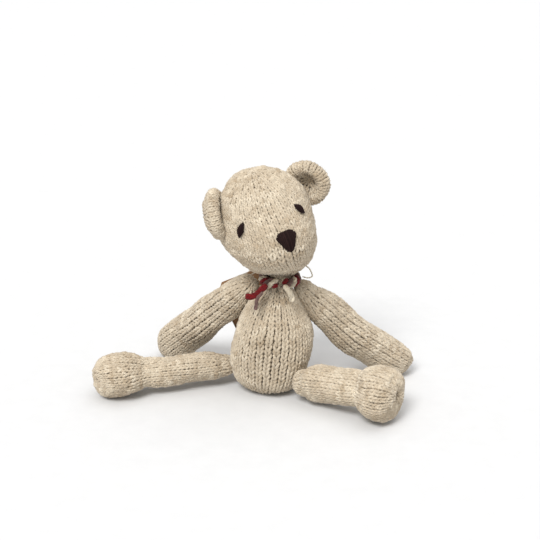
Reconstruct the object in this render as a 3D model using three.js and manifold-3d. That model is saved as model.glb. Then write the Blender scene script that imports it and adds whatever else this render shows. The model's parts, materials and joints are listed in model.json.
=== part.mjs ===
// A hand-knitted teddy bear that sits on its own flat seat, legs spread, with its head leaning to one side.
// Waxed cords run through the torso to a button in the root of each limb and of the head. Every root is a ball
// that nests in a dimple of the torso, so a limb turns about the middle of its button.
// Millimetres, +Z up, the bear faces -Y, and the origin is the middle of its flat seat.
import * as THREE from "three";
import { mergeVertices } from "three/addons/utils/BufferGeometryUtils.js";
import Module from "manifold-3d";

const wasm = await Module();
wasm.setup();

// Driving dimensions
const KNIT = 2.6; // thickness of the knitted skins
const GAP = 0.35; // air between two pieces that touch
const END_CAP = 3; // how far a limb's rounded end reaches past its last station
const SIDES = 12; // corners of a soft piece's cross-section
const ROOT_RADIUS = 8.4; // ball at the root of a limb, and of the head
const HOLLOW_RADIUS = 5.5; // room for a button inside the stuffing
const CORD_RADIUS = 0.8; // waxed joint cord
const CHANNEL_RADIUS = 1.4; // way for a cord through knitting and stuffing
const BUTTON = { radius: 4.2, thickness: 1.8, hole: 1.2 };
const WASHER = { radius: 2.8, thickness: 0.8, hole: 1.2, drop: 3.8 }; // leather, under the head's button
const KNOT = { radius: 1.5, distance: 2.6 }; // joint cord's end knots, behind the button

// The torso: a pear on a flat seat that leans a little to the bear's left
const TORSO_DEPTH = 0.88; // front-to-back size as a share of the width
const TORSO_LEAN = 0.08; // sideways shift of the middle for each millimetre of height
const TORSO_PROFILE = [
  [13, 0],
  [21, 4],
  [26, 9.5],
  [29.3, 18],
  [32.2, 36],
  [29.8, 55],
  [22.5, 71],
  [14.4, 83],
  [8.6, 89],
  [6.8, 95],
]; // radius, height

// The head: an egg with a ball of a muzzle and one of a nape, in its own frame, crown at +Z and face at -Y
const NECK = [9, 0, 102.5]; // middle of the button that the head turns about
const NECK_ANCHOR = 70; // height of the button deep in the torso that holds the neck's cord
const HEAD_RADII = [37.4, 35, 42.2];
const HEAD_UP = 41; // neck to the head's middle
const MUZZLE = { middle: [2.4, -19, -9], radius: 25 }; // from the head's middle
const NAPE = { middle: [11, 2, -25], radius: 20.5 };
const HEAD_ROLL = 16; // degrees, towards the bear's right shoulder
const HEAD_YAW = 16; // degrees, towards the bear's left

// Face and ears, from the head's middle. The face is stitched a little off centre
const EYE = { side: 22, middle: -2.8, front: 26, up: 9.5, width: 4.2, depth: 2.2, slant: 26, turn: 41 };
const EYE_LENGTHS = { right: 12.8, left: 9.8 };
const NOSE = { side: 3.6, up: -4.4, width: 15.5, height: 16.5, depth: 9, bulge: 2.4 };
const EAR_THICKNESS = 8.5; // half of it, before the front is scooped out
const EARS = {
  right: { middle: [-37.2, 3, 17.6], radius: 20.4, turn: 66 },
  left: { middle: [41, 4, 16.4], radius: 18.7, turn: -34 },
};

// Limbs run along +Z from their joint's centre. Stations: distance, half width, half height
const ARM_STATIONS = [
  [7, 7.8, 7.8],
  [16, 11.8, 11.6],
  [27, 14.4, 14.1],
  [38, 15.2, 15],
  [52, 15.4, 15.2],
  [66, 15.6, 15.4],
  [90, 16.4, 15.8],
  [105, 15.2, 14.4],
  [114.5, 10, 9.4],
];
const LEG_STATIONS = [
  [7, 10.6, 10.4],
  [18, 12.8, 12.4],
  [34, 13.8, 13.2],
  [52, 14, 13.2],
  [62, 13.5, 12.7],
  [70, 18.4, 16.4],
  [82, 21.8, 19],
  [92, 20.6, 18],
  [98.4, 15, 13.6],
];
// Each limb's joint, the end of its knitting, how stout its shaft and its foot (or hand) were knitted, and how
// far its middle sags below the straight line
const FOOT_START = 64;
const LIMBS = {
  right_arm: {
    root: [-16.2, 8, 84], tip: [-87.5, 70, 3.5], stations: ARM_STATIONS, girth: 0.98, foot: 1, sag: 0.5,
  },
  left_arm: {
    root: [30.9, 8, 83.6], tip: [113.5, 31.5, 5.5], stations: ARM_STATIONS, girth: 0.97, foot: 1.03, sag: 3,
  },
  right_leg: {
    root: [-34.5, 8, 16.5], tip: [-136, -18, 18], stations: LEG_STATIONS, girth: 0.92, foot: 0.87, sag: 0,
  },
  left_leg: {
    root: [27.5, -23, 16], tip: [98, -63, 22], stations: LEG_STATIONS, girth: 1.02, foot: 1.08, sag: -2,
  },
};

// The collar of three yarns twisted round the neck, and the loose ends that hang from its knot
const COLLAR = { radius: 12.8, height: 94.4, middle: [8.8, -1.8], twist: 2.6, yarn: 1.45, turns: 5, gap: 0.3 };
const COLLAR_STEPS = 34;
const COLLAR_YARNS = { red: "#86181b", cream: "#d8c9ab", mauve: "#6f584d" };
const TAILS = {
  red: { yarn: 2.5, path: [[-4.6, -18.2, 89], [-10, -20.6, 86.8], [-17, -21, 86.2]] },
  mauve: { yarn: 1.5, path: [[-8.2, -24, 83.4], [-8.8, -24.8, 81], [-9.3, -25.9, 77.6]] },
  cream: { yarn: 2.2, path: [[16.4, -22.2, 91], [17.9, -23.4, 87.4], [18.5, -24, 83.4]] },
};

// The paper tag that hangs behind the back on a cotton string
const TAG = { width: 44, height: 72, thickness: 0.8, middle: [-9.5, 44, 45.5], roll: 26, yaw: -14, hole: 2 };
const TAG_EYELET = { radius: 3.4, hole: 1.5, drop: 6, thickness: 1.6 };
const STRING_RADIUS = 0.6;
const STRING_STEPS = 44;
const STRING_START = [[-1.6, 14.8, 92.4], [-6, 23, 90.6], [-12, 34, 85]]; // from the collar to the card
const STRING_RETURN = [
  [-15.5, 53.5, 80],
  [-12.5, 52, 86],
  [-3, 43, 92],
  [9, 34, 94],
  [20, 27, 95.4],
  [28, 20, 97],
  [32, 13, 97],
  [33.6, 8.6, 95.4],
  [32.4, 4.8, 94.6],
  [28.4, 4, 94.6],
]; // back over the card's top edge and round to the collar's left side

function material(colour, roughness = 0.95, metalness = 0) {
  return new THREE.MeshStandardMaterial({ color: colour, roughness, metalness });
}

function solid(geometry) {
  // A manifold-3d solid of a closed geometry.
  const bare = geometry.clone();
  bare.deleteAttribute("normal");
  bare.deleteAttribute("uv");
  const merged = mergeVertices(bare, 1e-4);
  const vertProperties = new Float32Array(merged.attributes.position.array);
  const triVerts = new Uint32Array(merged.index.array);
  return new wasm.Manifold(new wasm.Mesh({ numProp: 3, vertProperties, triVerts }));
}

function geometryOf(body) {
  // The largest piece of a manifold-3d solid, as a geometry.
  const largest = body.decompose().reduce((a, b) => (b.volume() > a.volume() ? b : a));
  const { vertProperties, triVerts } = largest.getMesh();
  const geometry = new THREE.BufferGeometry();
  geometry.setAttribute("position", new THREE.Float32BufferAttribute(vertProperties, 3));
  geometry.setIndex(Array.from(triVerts));
  geometry.computeVertexNormals();
  return geometry;
}

function loft(rings) {
  // A closed skin over rings of equal count; the first and the last ring are single points.
  const points = rings.flat();
  const faces = [];
  let start = 0;
  for (let k = 0; k + 1 < rings.length; k++) {
    const lower = rings[k].length;
    const upper = rings[k + 1].length;
    const count = Math.max(lower, upper);
    for (let i = 0; i < count; i++) {
      const next = (i + 1) % count;
      const a = start + (lower > 1 ? i : 0);
      const b = start + (lower > 1 ? next : 0);
      const c = start + lower + (upper > 1 ? next : 0);
      const d = start + lower + (upper > 1 ? i : 0);
      if (a !== b) faces.push(a, b, c);
      if (c !== d) faces.push(a, c, d);
    }
    start += lower;
  }
  const geometry = new THREE.BufferGeometry().setFromPoints(points);
  geometry.setIndex(faces);
  return geometry;
}

function smoothRows(table, count) {
  // Rows of a table, spread evenly along smooth curves through its columns.
  const last = table.length - 1;
  return Array.from({ length: count }, (_, i) => {
    const along = (i / (count - 1)) * last;
    const k = Math.min(Math.floor(along), last - 1);
    return table[0].map((_, column) => {
      const value = (n) => table[Math.min(Math.max(n, 0), last)][column];
      const t = along - k;
      const p = [value(k - 1), value(k), value(k + 1), value(k + 2)];
      const slope = 0.5 * (p[2] - p[0]);
      const bend = p[0] - 2.5 * p[1] + 2 * p[2] - 0.5 * p[3];
      const twist = 0.5 * (p[3] - p[0]) + 1.5 * (p[1] - p[2]);
      return p[1] + t * (slope + t * (bend + t * twist));
    });
  });
}

function ovalRing(wide, deep, middleX, middleY, height) {
  return Array.from({ length: SIDES }, (_, i) => {
    const a = (2 * Math.PI * i) / SIDES;
    return new THREE.Vector3(middleX + wide * Math.cos(a), middleY + deep * Math.sin(a), height);
  });
}

function torsoSolid(inset) {
  // The pear, with its wall moved in by inset.
  const rows = smoothRows(TORSO_PROFILE, TORSO_PROFILE.length);
  const top = TORSO_PROFILE.at(-1)[1] - inset;
  const rings = rows.map(([radius, height]) => {
    const level = THREE.MathUtils.clamp(height, inset, top);
    const wide = radius - inset;
    return ovalRing(wide, TORSO_DEPTH * wide, TORSO_LEAN * level, 0, level);
  });
  const distinct = rings.filter((ring, k) => k === 0 || ring[0].z - rings[k - 1][0].z > 0.1);
  const bottomPoint = [new THREE.Vector3(TORSO_LEAN * inset, 0, inset)];
  const topPoint = [new THREE.Vector3(TORSO_LEAN * top, 0, top)];
  return solid(loft([bottomPoint, ...distinct, topPoint]));
}

function limbSolid(stations, inset) {
  // A ball round the joint, joined to the limb's body, with the wall moved in by inset. The last rings, where
  // the end rounds off, move back towards the joint too.
  const rows = smoothRows(stations, stations.length);
  const rings = rows.map(([along, wide, high, shift]) => {
    return ovalRing(wide - inset, high - inset, 0, shift, along);
  });
  const [first, last] = [rows[0], rows.at(-1)];
  const start = [new THREE.Vector3(0, first[3], first[0] - 4)];
  const end = [new THREE.Vector3(0, last[3], last[0] + END_CAP - inset)];
  for (const ring of rings.slice(-2)) for (const point of ring) point.z -= 0.6 * inset;
  return solid(loft([start, ...rings, end])).add(rootBall(ROOT_RADIUS - inset));
}

function rootBall(radius) {
  return solid(new THREE.SphereGeometry(radius, SIDES, 8).rotateX(Math.PI / 2));
}

function headReach(n) {
  // Distance from the head's middle to its skin along the unit direction n: a soft maximum of the egg's
  // distance and those of the muzzle's and the nape's balls.
  const sharpness = 8;
  let total = Math.hypot(n.x / HEAD_RADII[0], n.y / HEAD_RADII[1], n.z / HEAD_RADII[2]) ** -sharpness;
  for (const { middle, radius } of [MUZZLE, NAPE]) {
    const centre = new THREE.Vector3(...middle);
    const along = n.dot(centre);
    const square = along * along - centre.lengthSq() + radius ** 2;
    const ball = square > 0 ? Math.max(along + Math.sqrt(square), 0) : 0;
    total += ball ** sharpness;
  }
  return total ** (1 / sharpness);
}

function headShell(inset) {
  // The head without its root, with the wall moved in by inset.
  const around = 16;
  const levels = 10;
  const rings = Array.from({ length: levels + 1 }, (_, k) => {
    const tilt = Math.PI * (1 - k / levels);
    const pole = k === 0 || k === levels;
    return Array.from({ length: pole ? 1 : around }, (_, i) => {
      const a = (2 * Math.PI * i) / around;
      const n = new THREE.Vector3(Math.sin(tilt) * Math.cos(a), Math.sin(tilt) * Math.sin(a), Math.cos(tilt));
      const p = n.clone().multiplyScalar(headReach(n) - inset);
      return p.add(new THREE.Vector3(0, 0, HEAD_UP));
    });
  });
  return solid(loft(rings));
}

function headSolid(inset) {
  return headShell(inset).add(rootBall(ROOT_RADIUS - inset));
}

function placedAt(geometry, position, direction) {
  // The geometry with its +Z along direction and its origin at position.
  const upright = new THREE.Vector3(0, 0, 1);
  const turn = new THREE.Quaternion().setFromUnitVectors(upright, direction.clone().normalize());
  return geometry.clone().applyQuaternion(turn).translate(...position);
}

function addMesh(parent, name, geometry, finish) {
  const made = new THREE.Mesh(geometry, finish);
  made.name = name;
  parent.add(made);
  return made;
}

function localSolid(body, group) {
  group.updateMatrixWorld(true);
  return body.transform(group.matrixWorld.clone().invert().elements);
}

function rod(from, to, radius, sides = 8) {
  // A round bar between two points.
  const line = to.clone().sub(from);
  const bar = new THREE.CylinderGeometry(radius, radius, line.length(), sides).rotateX(Math.PI / 2);
  return placedAt(bar, from.clone().add(to).multiplyScalar(0.5), line);
}

function jointCord(from, to) {
  // A straight cord between two buttons, with a knot just past each.
  const length = from.distanceTo(to) / 2 + KNOT.distance;
  const knot = Array.from({ length: 7 }, (_, i) => {
    const a = Math.PI * (i / 6);
    return [Math.max(KNOT.radius * Math.sin(a), 0), length - KNOT.radius * Math.cos(a)];
  });
  const neck = length - Math.sqrt(KNOT.radius ** 2 - CORD_RADIUS ** 2);
  const half = [[CORD_RADIUS, 0], [CORD_RADIUS, neck], ...knot.filter(([, z]) => z > neck + 0.01)];
  const lower = half.slice(1).reverse().map(([r, z]) => new THREE.Vector2(r, -z));
  const upper = half.slice(1).map(([r, z]) => new THREE.Vector2(r, z));
  const middle = from.clone().add(to).multiplyScalar(0.5);
  const turned = new THREE.LatheGeometry([...lower, ...upper], 8).rotateX(Math.PI / 2);
  return geometryOf(solid(placedAt(turned, middle, to.clone().sub(from))));
}

function discGeometry({ radius, thickness, hole }, axis) {
  // A round button or washer with one cord hole, its face square to the cord.
  const outline = new THREE.Shape().absarc(0, 0, radius, 0, 2 * Math.PI);
  outline.holes.push(new THREE.Path().absarc(0, 0, hole, 0, 2 * Math.PI));
  const settings = { depth: thickness, bevelEnabled: false, curveSegments: 6 };
  const disc = new THREE.ExtrudeGeometry(outline, settings).translate(0, 0, -thickness / 2);
  return placedAt(disc, new THREE.Vector3(), axis);
}

function yarnTube(points, radius, steps, sides = 6) {
  // A tube along a smooth curve.
  const curve = new THREE.CatmullRomCurve3(points);
  const outline = new THREE.Shape();
  const corners = Array.from({ length: sides }, (_, i) => (2 * Math.PI * i) / sides);
  corners.forEach((a, i) => outline[i ? "lineTo" : "moveTo"](radius * Math.cos(a), radius * Math.sin(a)));
  return new THREE.ExtrudeGeometry(outline, { steps, bevelEnabled: false, extrudePath: curve });
}

const wool = material("#c6b798");
const stuffing = material("#ece7dc", 1);
const wood = material("#b98d55", 0.55);
const waxedCord = material("#d9cfb8", 0.7);
const darkYarn = material("#281717", 0.8);

function limbGroup(root, line) {
  // A group at the joint whose +Z points along the limb and whose +X is level.
  const group = new THREE.Group();
  group.position.copy(root);
  const z = line.clone().normalize();
  const x = new THREE.Vector3(0, 0, 1).cross(z).normalize();
  group.quaternion.setFromRotationMatrix(new THREE.Matrix4().makeBasis(x, z.clone().cross(x), z));
  return group;
}

function addLimb(bear, name, limb, inwards) {
  // A knitted skin over stuffing, with a button hidden in the root.
  const root = new THREE.Vector3(...limb.root);
  const line = new THREE.Vector3(...limb.tip).sub(root);
  const group = limbGroup(root, line);
  const stretch = (line.length() - END_CAP) / limb.stations.at(-1)[0];
  const stations = limb.stations.map(([along, wide, high]) => {
    const stout = along > FOOT_START ? limb.foot : limb.girth;
    const sag = limb.sag * Math.sin((Math.PI * along) / 118);
    return [along * stretch, wide * stout, high * stout, -sag];
  });
  const entry = localSolid(solid(rod(root, inwards, CHANNEL_RADIUS)), group);
  const skin = limbSolid(stations, 0).subtract(limbSolid(stations, KNIT)).subtract(entry);
  const core = limbSolid(stations, KNIT + GAP).subtract(rootBall(HOLLOW_RADIUS));
  addMesh(group, name + "_knit", geometryOf(skin), wool);
  addMesh(group, name + "_stuffing", geometryOf(core), stuffing);
  bear.add(group);
  const button = addMesh(bear, name + "_button", discGeometry(BUTTON, inwards.clone().sub(root)), wood);
  button.position.copy(root);
  return root;
}

function addHead(bear, anchor) {
  const group = new THREE.Group();
  group.position.set(...NECK);
  group.rotation.order = "ZYX";
  group.rotation.set(0, THREE.MathUtils.degToRad(-HEAD_ROLL), THREE.MathUtils.degToRad(HEAD_YAW));
  bear.add(group);
  const entry = localSolid(solid(rod(group.position, anchor, CHANNEL_RADIUS)), group);
  const skin = headSolid(0).subtract(headSolid(KNIT)).subtract(entry);
  addMesh(group, "head_knit", geometryOf(skin), wool);
  const filling = headSolid(KNIT + GAP).subtract(rootBall(HOLLOW_RADIUS));
  addMesh(group, "head_stuffing", geometryOf(filling), stuffing);
  addFace(group);
  const upright = new THREE.Vector3(0, 0, 1);
  addMesh(bear, "head_button", discGeometry(BUTTON, upright), wood).position.set(...NECK);
  const washer = discGeometry(WASHER, upright).translate(0, 0, -WASHER.drop);
  addMesh(bear, "head_washer", washer, material("#8a5a34", 0.8)).position.set(...NECK);
}

function onHead(direction, lift = 0) {
  // The point of the head's skin along a direction from the head's middle, raised by lift.
  const n = direction.clone().normalize();
  return n.multiplyScalar(headReach(n) + lift).add(new THREE.Vector3(0, 0, HEAD_UP));
}

function addFace(head) {
  const skin = headShell(-GAP);
  for (const [side, sign] of [["right", -1], ["left", 1]]) {
    const eyeDirection = new THREE.Vector3(EYE.middle + sign * EYE.side, -EYE.front, EYE.up);
    const leaf = new THREE.SphereGeometry(1, 10, 8).scale(EYE.width / 2, EYE.depth, EYE_LENGTHS[side] / 2);
    leaf.rotateY(THREE.MathUtils.degToRad(-sign * EYE.slant));
    leaf.rotateZ(THREE.MathUtils.degToRad(sign * EYE.turn));
    leaf.translate(...onHead(eyeDirection, 0.2));
    addMesh(head, side + "_eye", geometryOf(solid(leaf).subtract(skin)), darkYarn);
    addMesh(head, side + "_ear_knit", earGeometry(EARS[side], skin), wool);
  }
  addMesh(head, "nose", noseGeometry(skin), darkYarn);
}

function noseGeometry(skin) {
  // A rounded triangle, point down, wrapped on the muzzle.
  const w = NOSE.width / 2;
  const h = NOSE.height / 2;
  const outline = new THREE.Shape();
  outline.moveTo(-w * 0.8, h);
  outline.lineTo(w * 0.8, h);
  outline.quadraticCurveTo(w * 1.1, h * 0.7, w * 0.85, h * 0.1);
  outline.lineTo(w * 0.3, -h * 0.8);
  outline.quadraticCurveTo(0, -h * 1.2, -w * 0.3, -h * 0.8);
  outline.lineTo(-w * 0.85, h * 0.1);
  outline.quadraticCurveTo(-w * 1.1, h * 0.7, -w * 0.8, h);
  const options = { depth: NOSE.depth, bevelEnabled: false, curveSegments: 4 };
  const block = new THREE.ExtrudeGeometry(outline, options);
  block.rotateX(Math.PI / 2);
  const front = onHead(new THREE.Vector3(NOSE.side, -44, NOSE.up));
  const bulge = headShell(-NOSE.bulge);
  block.translate(front.x, front.y + NOSE.depth - 2, front.z);
  return geometryOf(solid(block).intersect(bulge).subtract(skin));
}

function earGeometry({ middle, radius, turn }, skin) {
  // A round cushion scooped out at the front and seated on the head.
  const cushion = new THREE.SphereGeometry(radius, 14, 8).scale(1, EAR_THICKNESS / radius, 1);
  const scoop = new THREE.SphereGeometry(radius * 0.62, 10, 8).scale(1, 0.6, 1);
  scoop.translate(0, -EAR_THICKNESS, 0);
  const cup = solid(cushion).subtract(solid(scoop));
  const pose = new THREE.Matrix4().makeRotationZ(THREE.MathUtils.degToRad(turn));
  pose.setPosition(middle[0], middle[1], middle[2] + HEAD_UP);
  return geometryOf(cup.transform(pose.elements).subtract(skin));
}

function addTorso(bear, cords, sockets, anchor) {
  // The knitted pear and its stuffing, dimpled where the roots nest and pierced for the cords.
  let skin = torsoSolid(0).subtract(torsoSolid(KNIT));
  let core = torsoSolid(KNIT + GAP);
  for (const centre of sockets) {
    const dimple = rootBall(ROOT_RADIUS + 2 * GAP).translate(centre.toArray());
    skin = skin.subtract(dimple);
    core = core.subtract(rootBall(ROOT_RADIUS + KNIT + 1).translate(centre.toArray()));
  }
  for (const [from, to] of cords) {
    const channel = solid(rod(from, to, CHANNEL_RADIUS));
    skin = skin.subtract(channel);
    core = core.subtract(channel);
  }
  core = core.subtract(rootBall(HOLLOW_RADIUS).translate(anchor.toArray()));
  addMesh(bear, "torso_knit", geometryOf(skin), wool);
  addMesh(bear, "torso_stuffing", geometryOf(core), stuffing);
  const anchorButton = discGeometry(BUTTON, new THREE.Vector3(0, 0, 1));
  addMesh(bear, "neck_anchor_button", anchorButton, wood).position.copy(anchor);
}

function addCollar(bear) {
  // Three yarns twisted into one rope that goes once round the neck, open at the front by a small gap.
  const [middleX, middleY] = COLLAR.middle;
  Object.entries(COLLAR_YARNS).forEach(([name, colour], n) => {
    const span = 2 * Math.PI - COLLAR.gap;
    const points = Array.from({ length: COLLAR_STEPS + 1 }, (_, i) => {
      const a = -Math.PI / 2 + COLLAR.gap / 2 + (span * i) / COLLAR_STEPS;
      const twist = (COLLAR.turns * 2 * Math.PI * i) / COLLAR_STEPS + (2 * Math.PI * n) / 3;
      const r = COLLAR.radius + COLLAR.twist * Math.cos(twist);
      const level = COLLAR.height + COLLAR.twist * Math.sin(twist);
      return new THREE.Vector3(middleX + r * Math.cos(a), middleY + r * Math.sin(a), level);
    });
    addMesh(bear, "collar_" + name, yarnTube(points, COLLAR.yarn, COLLAR_STEPS), material(colour, 0.9));
  });
  for (const [name, tail] of Object.entries(TAILS)) {
    const points = tail.path.map((p) => new THREE.Vector3(...p));
    const wool = material(COLLAR_YARNS[name], 0.9);
    addMesh(bear, "collar_" + name + "_tail", yarnTube(points, tail.yarn, 5), wool);
  }
}

function addTag(bear) {
  // A blank card with a brass eyelet near its top edge.
  const group = new THREE.Group();
  group.position.set(...TAG.middle);
  group.rotation.order = "ZYX";
  group.rotation.set(0, THREE.MathUtils.degToRad(-TAG.roll), THREE.MathUtils.degToRad(TAG.yaw));
  const outline = new THREE.Shape();
  const [w, h] = [TAG.width / 2, TAG.height / 2];
  const bevel = 7;
  outline.setFromPoints(
    [[-w, -h], [w, -h], [w, h - bevel], [w - bevel, h], [-w + bevel, h], [-w, h - bevel]].map(
      ([x, y]) => new THREE.Vector2(x, y),
    ),
  );
  const eyeletHeight = h - TAG_EYELET.drop;
  outline.holes.push(new THREE.Path().absarc(0, eyeletHeight, TAG.hole + GAP, 0, 2 * Math.PI));
  const settings = { depth: TAG.thickness, bevelEnabled: false, curveSegments: 8 };
  const card = new THREE.ExtrudeGeometry(outline, settings).rotateX(Math.PI / 2);
  addMesh(group, "tag_card", card.translate(0, TAG.thickness / 2, 0), material("#82664a", 0.85));
  addMesh(group, "tag_eyelet", eyeletGeometry(), material("#b08d4f", 0.35, 0.9)).position.z = eyeletHeight;
  bear.add(group);
  group.updateMatrixWorld(true);
  const through = [1.5, 0, -1.5].map((y) => group.localToWorld(new THREE.Vector3(0, -y, eyeletHeight)));
  const asPoint = (p) => new THREE.Vector3(...p);
  const route = [...STRING_START.map(asPoint), ...through, ...STRING_RETURN.map(asPoint)];
  addMesh(bear, "tag_string", yarnTube(route, STRING_RADIUS, STRING_STEPS, 8), material("#e6dcc4", 0.9));
}

function eyeletGeometry() {
  // A flanged ring: a barrel through the card's hole with a lip on each face.
  const lip = TAG_EYELET.radius;
  const half = TAG_EYELET.thickness / 2 + 0.3;
  const inner = TAG_EYELET.hole;
  const neck = TAG.thickness / 2 + GAP;
  const outline = [[inner, -half], [lip, -half], [lip, -neck], [TAG.hole, -neck], [TAG.hole, neck]];
  const profile = [...outline, [lip, neck], [lip, half], [inner, half], [inner, -half]];
  return new THREE.LatheGeometry(profile.map(([r, y]) => new THREE.Vector2(r, y)), 10);
}

const bear = new THREE.Group();
const neck = new THREE.Vector3(...NECK);
const anchor = new THREE.Vector3(TORSO_LEAN * NECK_ANCHOR, 0, NECK_ANCHOR);
const roots = {};
for (const [name, limb] of Object.entries(LIMBS)) {
  const opposite = name.startsWith("left") ? name.replace("left", "right") : name.replace("right", "left");
  roots[name] = addLimb(bear, name, limb, new THREE.Vector3(...LIMBS[opposite].root));
}
addHead(bear, anchor);
const cords = {
  arm_joint_cord: [roots.right_arm, roots.left_arm],
  leg_joint_cord: [roots.right_leg, roots.left_leg],
  neck_joint_cord: [anchor, neck],
};
addTorso(bear, Object.values(cords), [...Object.values(roots), neck], anchor);
for (const [name, [from, to]] of Object.entries(cords)) addMesh(bear, name, jointCord(from, to), waxedCord);
addCollar(bear);
addTag(bear);

export default bear;
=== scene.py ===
import json
import math

import bpy
import numpy as np
from mathutils import Matrix, Vector


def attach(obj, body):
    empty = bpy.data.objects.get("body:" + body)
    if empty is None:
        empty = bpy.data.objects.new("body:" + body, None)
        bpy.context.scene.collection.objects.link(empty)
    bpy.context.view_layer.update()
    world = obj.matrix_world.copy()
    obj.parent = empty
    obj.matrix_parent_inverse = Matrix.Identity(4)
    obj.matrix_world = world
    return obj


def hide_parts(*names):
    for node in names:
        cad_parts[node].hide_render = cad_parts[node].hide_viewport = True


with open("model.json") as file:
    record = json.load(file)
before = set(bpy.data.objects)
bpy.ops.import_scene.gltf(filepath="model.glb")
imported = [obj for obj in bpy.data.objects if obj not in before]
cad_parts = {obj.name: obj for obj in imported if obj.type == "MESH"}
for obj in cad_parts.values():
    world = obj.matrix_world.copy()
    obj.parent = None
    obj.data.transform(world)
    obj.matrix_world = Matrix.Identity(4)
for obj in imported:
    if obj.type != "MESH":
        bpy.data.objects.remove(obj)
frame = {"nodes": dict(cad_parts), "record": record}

bl_info = {
    "name": "Knitted Jointed Bear",
    "version": (1, 0, 0),
    "blender": (4, 5, 0),
    "location": "View3D > Sidebar > Bear",
    "description": "Knits the skins of a jointed teddy bear stitch by stitch round its frame",
    "category": "Add Mesh",
}

MM = 0.001  # lengths below are in millimetres, and meshes are in metres
JOINTS = {joint["name"]: joint for joint in frame["record"]["behaviour"]["joints"]}

# ---------------------------------------------------------------------------------------------------------
# Shapes of the soft pieces. The columns of an outline are: distance along the axis, half width, half height.
# Every outline starts and ends on the axis.
# ---------------------------------------------------------------------------------------------------------
TORSO_DEPTH = 0.88  # front-to-back size as a share of the width
TORSO_LEAN = 0.08  # sideways shift for each millimetre of height
TORSO_OUTLINE = [
    [0, 0], [0, 7], [0.6, 13], [4, 21], [9.5, 26], [18, 29.3], [36, 32.2], [55, 29.8], [71, 22.5], [83, 14.4],
    [89, 9], [94, 7], [95, 3.6], [95, 0],
]  # height and half width only
ARM_OUTLINE = [
    [-8.4, 0, 0], [-7.4, 4, 4], [-3.6, 7.6, 7.6], [3, 8.9, 8.9], [9, 10.6, 10.5], [18, 13.4, 13.2],
    [38, 15.2, 15], [66, 15.6, 15.4], [90, 16.4, 15.8], [104, 15.4, 14.6], [113, 11, 10.4], [117, 5.4, 5.2],
    [116.6, 0, 0],
]
LEG_OUTLINE = [
    [-8.4, 0, 0], [-7.4, 4, 4], [-3.6, 7.6, 7.4], [3, 9.2, 9], [9, 11.4, 11.2], [18, 12.9, 12.5],
    [34, 13.8, 13.2], [50, 14.1, 13.3], [58, 14, 13.2], [62.5, 13.4, 12.6], [67, 16.6, 15], [75, 20.6, 18],
    [84, 21.8, 19], [92, 20.6, 18], [98, 16, 14.4], [101.4, 9, 8], [100.6, 3.8, 3.6],
    [96.5, 1.8, 1.8], [94, 0, 0],
]
ROOT_RADIUS = 8.4  # ball at the root of a limb, and of the head
FOOT_START = 64  # distance along the outline of a leg, or of an arm, where its end part begins
SAG_SPAN = 118  # how far along a limb its sag ends
DROP_REACH = 34  # how far along a limb the drop of its root fades
SWELL_START, SWELL_REACH = 4, 17  # where the swelling of its root starts to fade, and how far that goes on
# Each limb: the joint at its root, the end of its knitting, its outline, how stout its shaft and its foot were
# knitted, how far its middle sags and its root drops below the straight line, how much fatter its root is, and
# where round it the first stitch lies, in turns.
LIMBS = {
    "right_arm": dict(
        joint="right_arm_lift", tip=(-87.5, 70, 3.5), outline=ARM_OUTLINE, girth=0.98, foot=1.0,
        sag=0.5, drop=0, swell=0.2, turn=0.12,
    ),
    "left_arm": dict(
        joint="left_arm_lift", tip=(113.5, 31.5, 5.5), outline=ARM_OUTLINE, girth=0.97, foot=1.03,
        sag=6.5, drop=3.2, swell=0.06, turn=0.31,
    ),
    "right_leg": dict(
        joint="right_leg_raise", tip=(-136, -18, 18), outline=LEG_OUTLINE, girth=0.92, foot=0.87,
        sag=0, drop=0, swell=0.1, turn=0.2,
    ),
    "left_leg": dict(
        joint="left_leg_raise", tip=(98, -63, 22), outline=LEG_OUTLINE, girth=1.02, foot=1.08,
        sag=-2, drop=0, swell=0.22, turn=0.05,
    ),
}
HEAD_RADII = (37.4, 35, 42.2)
HEAD_UP = 41  # neck to the head's middle
HEAD_BLEND = 8  # power of the soft maximum that joins the egg and the two balls: higher is sharper
HEAD_LEVELS, HEAD_ANGLES = 181, 361  # rows and columns of the table of even rings
NECK_RISE, NECK_SPREAD = 7.4, 0.16  # height of the short neck, and its width as an angle
MUZZLE = ((2.4, -19, -9), 25)  # centre, from the head's middle, and radius
NAPE = ((11, 2, -25), 20.5)
HEAD_ROLL = math.radians(16)
HEAD_YAW = math.radians(16)
EYE = dict(side=22, middle=-2.8, front=26, up=9.5, width=3.8, slant=math.radians(26))
EYE_LENGTHS = {"right_eye": 12.8, "left_eye": 9.8}
NOSE = dict(side=3.6, front=44, up=-4.4, width=15.5, height=16.5)
EARS = {
    "right": dict(middle=(-37.2, 3, 17.6), radius=20.4, turn=math.radians(66)),
    "left": dict(middle=(41, 4, 16.4), radius=18.7, turn=math.radians(-34)),
}


def joint_place(name):
    """Where a joint turns, in millimetres."""
    return np.array(JOINTS[name]["pos_m"]) / MM


def smooth_rows(table, count):
    """Rows spread along a Catmull-Rom curve: each column is a cubic between neighbouring rows whose slope at
    a row is half the step from the row before to the row after."""
    table = np.asarray(table, float)
    last = len(table) - 1
    along = np.linspace(0, last, count)
    k = np.minimum(along.astype(int), last - 1)
    t = (along - k)[:, None]
    before, here, there, after = (table[np.clip(k + n, 0, last)] for n in (-1, 0, 1, 2))
    slope = 0.5 * (there - before)
    bend = before - 2.5 * here + 2 * there - 0.5 * after
    twist = 0.5 * (after - before) + 1.5 * (here - there)
    return here + t * (slope + t * (bend + t * twist))


def unit(vectors):
    return vectors / np.maximum(np.linalg.norm(vectors, axis=-1, keepdims=True), 1e-9)


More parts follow.
